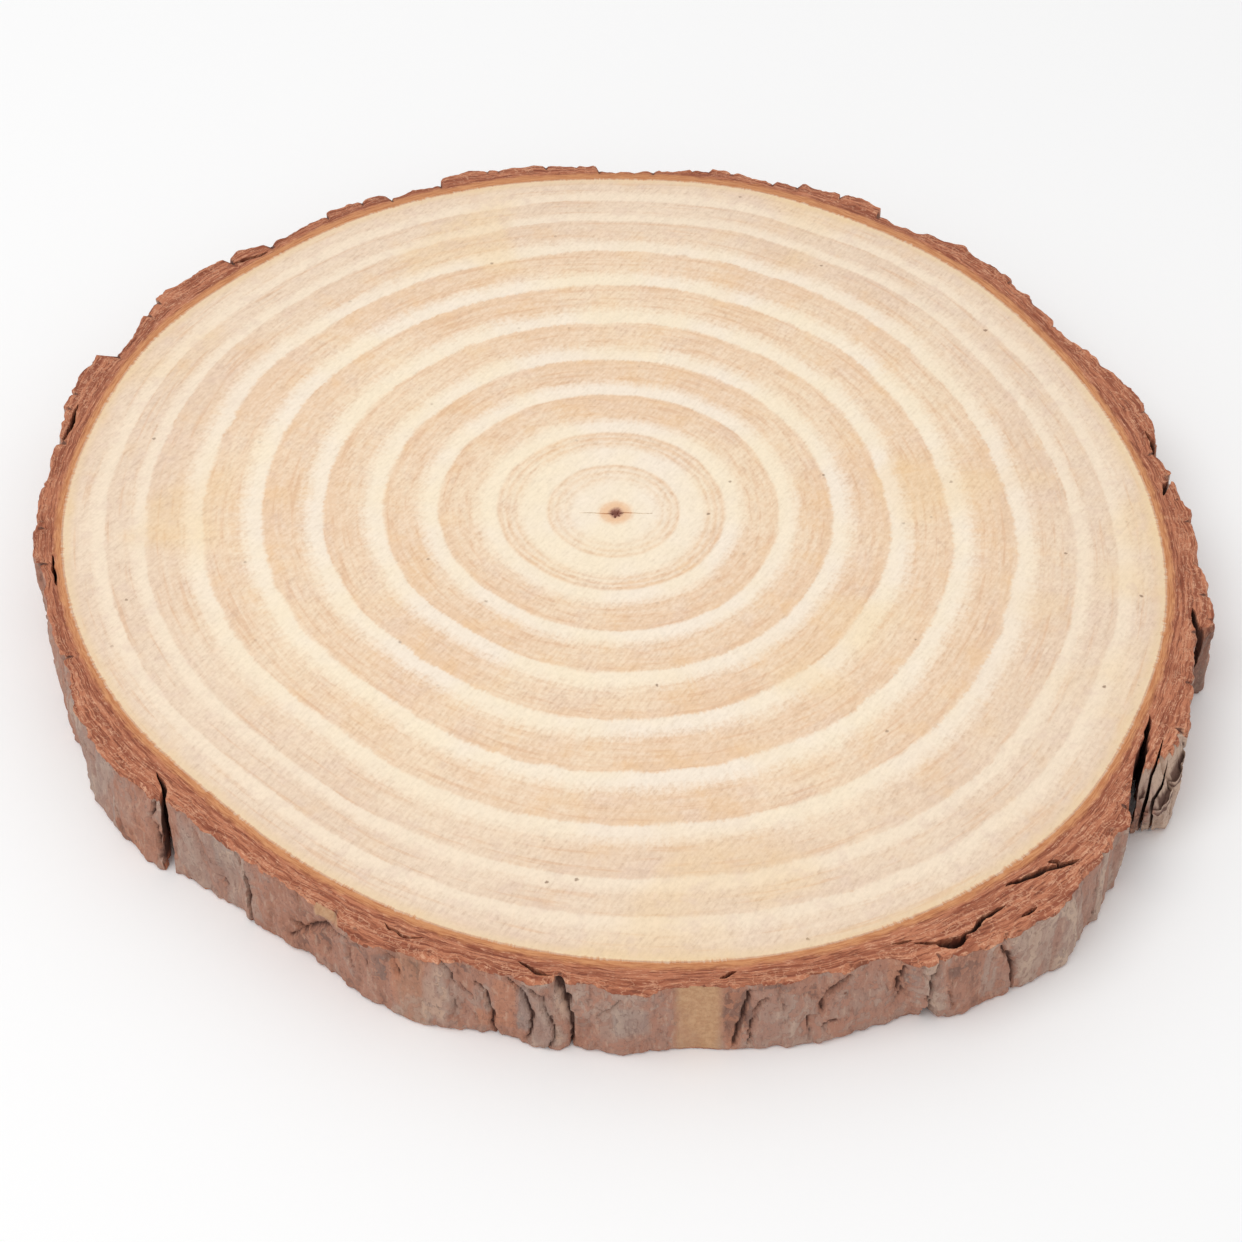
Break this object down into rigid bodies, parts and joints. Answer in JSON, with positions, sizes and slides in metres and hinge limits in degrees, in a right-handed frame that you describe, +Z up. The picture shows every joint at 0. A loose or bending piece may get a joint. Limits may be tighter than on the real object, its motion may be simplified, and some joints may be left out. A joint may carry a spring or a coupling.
{
  "type": "wood slice",
  "caption": "Round cross-cut slice of a log with a flat sawn face, growth rings, a small pith and a full ring of rough bark.",
  "frame": {"origin": "the pith's place on the under face, at the middle of the slice's footprint", "axes": "+Z up along the grain, out of the top sawn face; -Y towards the side that the picture shows in front; +X to the right in the picture"},
  "size_m": [0.2123, 0.2116, 0.017],
  "materials": {
    "wood": "sanded, unvarnished",
    "bark": "rough, dry bark"
  },
  "bodies": {
    "root": {"wood": "wood", "bark": "bark"}
  },
  "joints": []
}
